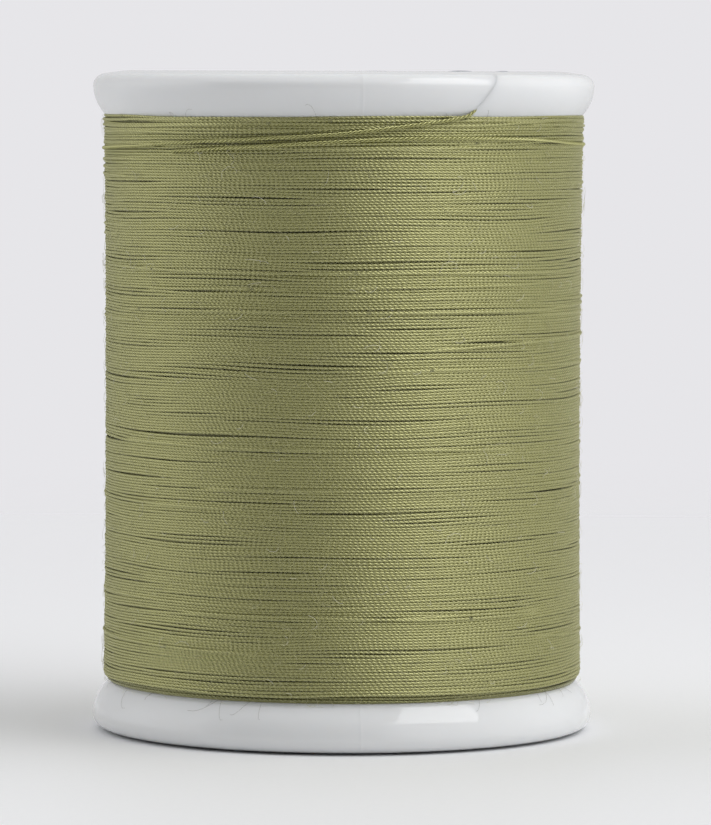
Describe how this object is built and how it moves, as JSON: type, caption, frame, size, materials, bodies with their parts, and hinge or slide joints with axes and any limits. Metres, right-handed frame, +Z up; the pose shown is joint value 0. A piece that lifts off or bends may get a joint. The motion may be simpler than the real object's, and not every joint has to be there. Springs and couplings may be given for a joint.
{
  "type": "spool of sewing thread",
  "caption": "Flanged plastic spool wound full of fine olive sewing thread, its free end held in a nick in the upper flange, with round paper labels on its ends.",
  "frame": {"origin": "centre of the lower end face, on the surface that the spool stands on", "axes": "+Z up along the spool's axis, from the lower flange to the flange with the nick; -Y is the front, from which the nick is 36 degrees towards +X"},
  "size_m": [0.038, 0.038, 0.05],
  "materials": {
    "spool_plastic": "glossy white moulded polystyrene",
    "thread": "three-ply cotton thread, soft sheen, olive green",
    "label_paper": "coated white paper with plain printed rings, no lettering"
  },
  "bodies": {
    "root": {"spool_body": "spool_plastic", "thread_winding": "thread", "thread_tail": "thread", "top_label": "label_paper", "bottom_label": "label_paper"}
  },
  "joints": []
}
